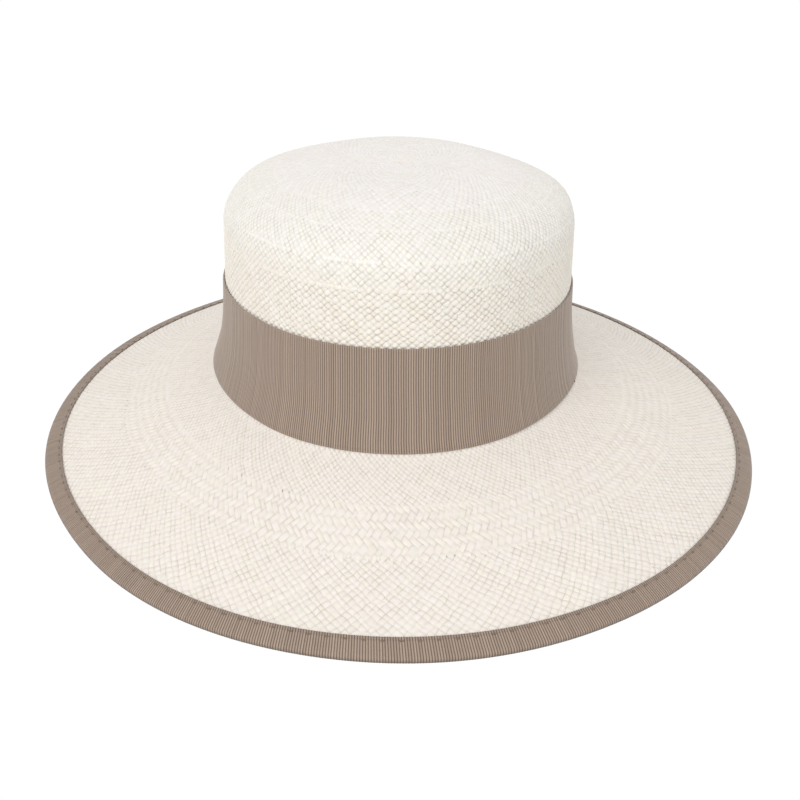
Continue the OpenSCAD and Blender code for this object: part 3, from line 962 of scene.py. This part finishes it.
def make_knot():
    """A short wrap with its ribs lying level."""
    rise = np.linspace(0.02, 0.98, 104)
    # height off the wall, z: lower end, front, upper end, inner side
    outline = np.concatenate([
        [(0.95, 36.25), (0.95, 35.6), (2.6, 35.45), (4.6, 35.6), (5.5, 36.1)],
        pairs(5.55 + 0.12 * np.sin(math.pi * rise), 36.2 + 32.6 * rise),
        [(5.5, 68.9), (4.6, 69.4), (2.6, 69.5), (0.95, 69.4), (0.95, 68.75)],
        [(5.15, 68.6), (5.15, 52), (5.15, 36.5)]])
    degrees = np.concatenate([[85.0, 85.05, 85.35, 85.7], np.linspace(86.2, 93.8, 9),
                              [94.3, 94.65, 94.95, 95.0]])
    lift, light = rib(np.arange(len(outline)), 0.14)
    lift[-3:] = 0  # no ribs on the inner side
    # the inner side, against the wall, is painted in the dark groove shade
    light[-3:] = 0
    rib_share = np.ones(len(degrees))
    rib_share[[0, -1]] = -0.6
    rib_share[[1, -2]] = 0.2
    points = back_pt(degrees, outline[:, :1] + lift[:, None] * rib_share, outline[:, 1:])
    tint = rib_tint(light, np.ones(len(light)))[:, None]
    make_piece("bow_knot_wrap", grid(points, tint, wrap_rows=True, flip=True), "grosgrain",
               "bow_knot")


def make_band_tacks():
    angle = np.radians([12.0, 40.0, 140.0, 168.0, 200.0, 340.0])
    z = BAND_BOTTOM + 1.2
    x, y = oval_xy(wall_r(z) + GAP + RIBBON_T + 0.22, angle)
    along, outward = directions(angle)
    threads("band_tack_threads", np.stack([x, y, z + 0 * angle], -1), along, outward,
            "taupe_thread", "band_tack_stitches", TAUPE_DARK * 0.9, length=1.8,
            thickness=0.42, sag=0.10)


make_bow()
make_knot()
make_band_tacks()


# ---------------------------------------------------------------- small bow and tab inside, at the back
# tab: z, curl toward the hat's middle
TAB_ROWS = np.array([(48.4, -0.30), (48.5, -0.34), (49.4, -0.26), (51, -0.16), (53, -0.09),
                     (55, -0.04), (57, -0.01), (59, 0), (60.5, 0), (61.6, 0), (61.9, 0)])


def make_small_bow():
    face = SWEAT_IN - GAP
    look = dict(pitch=0.9, amplitude=0.10, rib_side=-1.0)
    for name, start, stop in (("a", 82.6, 90.2), ("b", 89.8, 97.4)):
        degrees = np.linspace(start, stop, 14)
        share = (degrees - start) / (stop - start)
        wall_ribbon("sweatband_bow_" + name,
                    pairs(degrees, face - 0.5 - 0.35 * np.sin(np.pi * share)), 38, 46, 0.5,
                    "sweatband_bow", rows=5, seed=21, **look)
    wall_ribbon("sweatband_bow_knot", pairs(np.linspace(88.4, 91.6, 8), face - 1.35), 39, 45,
                1.0, "sweatband_bow", rows=4, seed=22, **look)


def make_tab():
    face = SWEAT_IN - 0.15
    degrees = np.linspace(83, 97, 29)
    z, curl = TAB_ROWS[:, :1], TAB_ROWS[:, 1:]
    inner = back_pt(degrees, face - 0.38 + curl, z)
    outer = back_pt(degrees, face - 0.08 + curl, z)
    for edge in (0, -1):  # the two faces meet at the side edges
        inner[:, edge] = outer[:, edge] = (inner[:, edge] + outer[:, edge]) / 2
    mesh = grid(np.concatenate([inner, outer[::-1]]), TAB_WHITE, wrap_rows=True)
    make_piece("size_tab_cloth", mesh, "tab_cloth", "size_tab", "tab")


make_small_bow()
make_tab()

# ---------------------------------------------------------------- stage, light and camera, in metres
WHITE = (1, 1, 1, 1)
SEEN_WHITE = 1.02  # strength of the white that the camera sees


def stage_white(name, glow):
    """White to the eye; seen from below it lets the eye through to the hat's inside."""
    material = bpy.data.materials.new(name)
    material.use_nodes = True
    tree = material.node_tree
    link = tree.links.new
    principled = tree.nodes["Principled BSDF"]
    for socket, value in {"Base Color": (0.9, 0.9, 0.9, 1), "Roughness": 1.0,
                          "Emission Color": WHITE, "Emission Strength": glow}.items():
        principled.inputs[socket].default_value = value
    seen = add_node(tree, "ShaderNodeEmission", {"Color": WHITE, "Strength": SEEN_WHITE})
    path = add_node(tree, "ShaderNodeLightPath")
    top_mix = add_node(tree, "ShaderNodeMixShader")
    link(path.outputs["Is Camera Ray"], top_mix.inputs["Fac"])
    link(principled.outputs["BSDF"], top_mix.inputs[1])
    link(seen.outputs["Emission"], top_mix.inputs[2])
    geometry = add_node(tree, "ShaderNodeNewGeometry")
    from_below = add_node(tree, "ShaderNodeMath", operation="MULTIPLY")
    link(geometry.outputs["Backfacing"], from_below.inputs[0])
    link(path.outputs["Is Camera Ray"], from_below.inputs[1])
    clear = add_node(tree, "ShaderNodeBsdfTransparent")
    mix = add_node(tree, "ShaderNodeMixShader")
    link(from_below.outputs[0], mix.inputs["Fac"])
    link(top_mix.outputs["Shader"], mix.inputs[1])
    link(clear.outputs["BSDF"], mix.inputs[2])
    link(mix.outputs["Shader"], tree.nodes["Material Output"].inputs["Surface"])
    return material


def make_stage():
    bpy.ops.mesh.primitive_plane_add(size=12, location=(0, 0, -0.0004))
    floor = bpy.context.active_object
    floor.name = "stage_floor"
    floor.data.materials.append(stage_white("stage_white", glow=0.0))
    # a soft light under the hat, hidden from above by the brim
    bpy.ops.mesh.primitive_circle_add(vertices=96, radius=1.0, fill_type="NGON",
                                      location=(0.0019, 0.0037, -0.0002))
    glow = bpy.context.active_object
    glow.scale = (0.1575, 0.1740, 1.0)
    glow.name = "stage_glow"
    glow.data.materials.append(stage_white("stage_glow_white", glow=0.55))


def make_world():
    world = bpy.data.worlds.new("white_studio")
    bpy.context.scene.world = world
    world.use_nodes = True
    tree = world.node_tree
    link = tree.links.new
    light = tree.nodes["Background"]
    light.inputs["Color"].default_value = WHITE
    light.inputs["Strength"].default_value = 0.70
    seen = add_node(tree, "ShaderNodeBackground", {"Color": WHITE, "Strength": SEEN_WHITE})
    path = add_node(tree, "ShaderNodeLightPath")
    mix = add_node(tree, "ShaderNodeMixShader")
    link(path.outputs["Is Camera Ray"], mix.inputs["Fac"])
    link(light.outputs["Background"], mix.inputs[1])
    link(seen.outputs["Background"], mix.inputs[2])
    link(mix.outputs["Shader"], tree.nodes["World Output"].inputs["Surface"])


def toward(place, aim):
    return (Vector(aim) - Vector(place)).to_track_quat("-Z", "Y")


def area(name, place, size, power, color):
    light = bpy.data.lights.new(name, "AREA")
    light.shape = "SQUARE"
    light.size = size
    light.energy = power
    light.color = color
    lamp = bpy.data.objects.new(name, light)
    bpy.context.scene.collection.objects.link(lamp)
    lamp.location = place
    lamp.rotation_euler = toward(place, (0, 0, 0.05)).to_euler()


def make_camera():
    place, aim = (0.00186, -0.38038, 0.19966), (0.00186, 0.00132, 0.00088)
    roll = 0.0190  # radians
    lens = bpy.data.cameras.new("cam")
    camera = bpy.data.objects.new("cam", lens)
    bpy.context.scene.collection.objects.link(camera)
    lens.lens = 38.73
    lens.sensor_width = 36
    camera.location = place
    camera.rotation_mode = "QUATERNION"
    turn = toward(place, aim).to_matrix() @ Matrix.Rotation(roll, 3, "Z")
    camera.rotation_quaternion = turn.to_quaternion()
    bpy.context.scene.camera = camera


make_stage()
make_world()
area("key", place=(-0.58, -0.92, 0.90), size=0.7, power=6.15, color=(1.0, 0.985, 0.965))
area("fill", place=(0.72, -0.78, 0.50), size=0.9, power=1.45, color=(1.0, 0.985, 0.965))
area("top", place=(0.15, 0.75, 1.0), size=0.8, power=1.6, color=(1.0, 0.99, 0.98))
make_camera()
view = bpy.context.scene.view_settings
view.view_transform = "Standard"
view.look = "None"
view.exposure = 0
view.gamma = 1
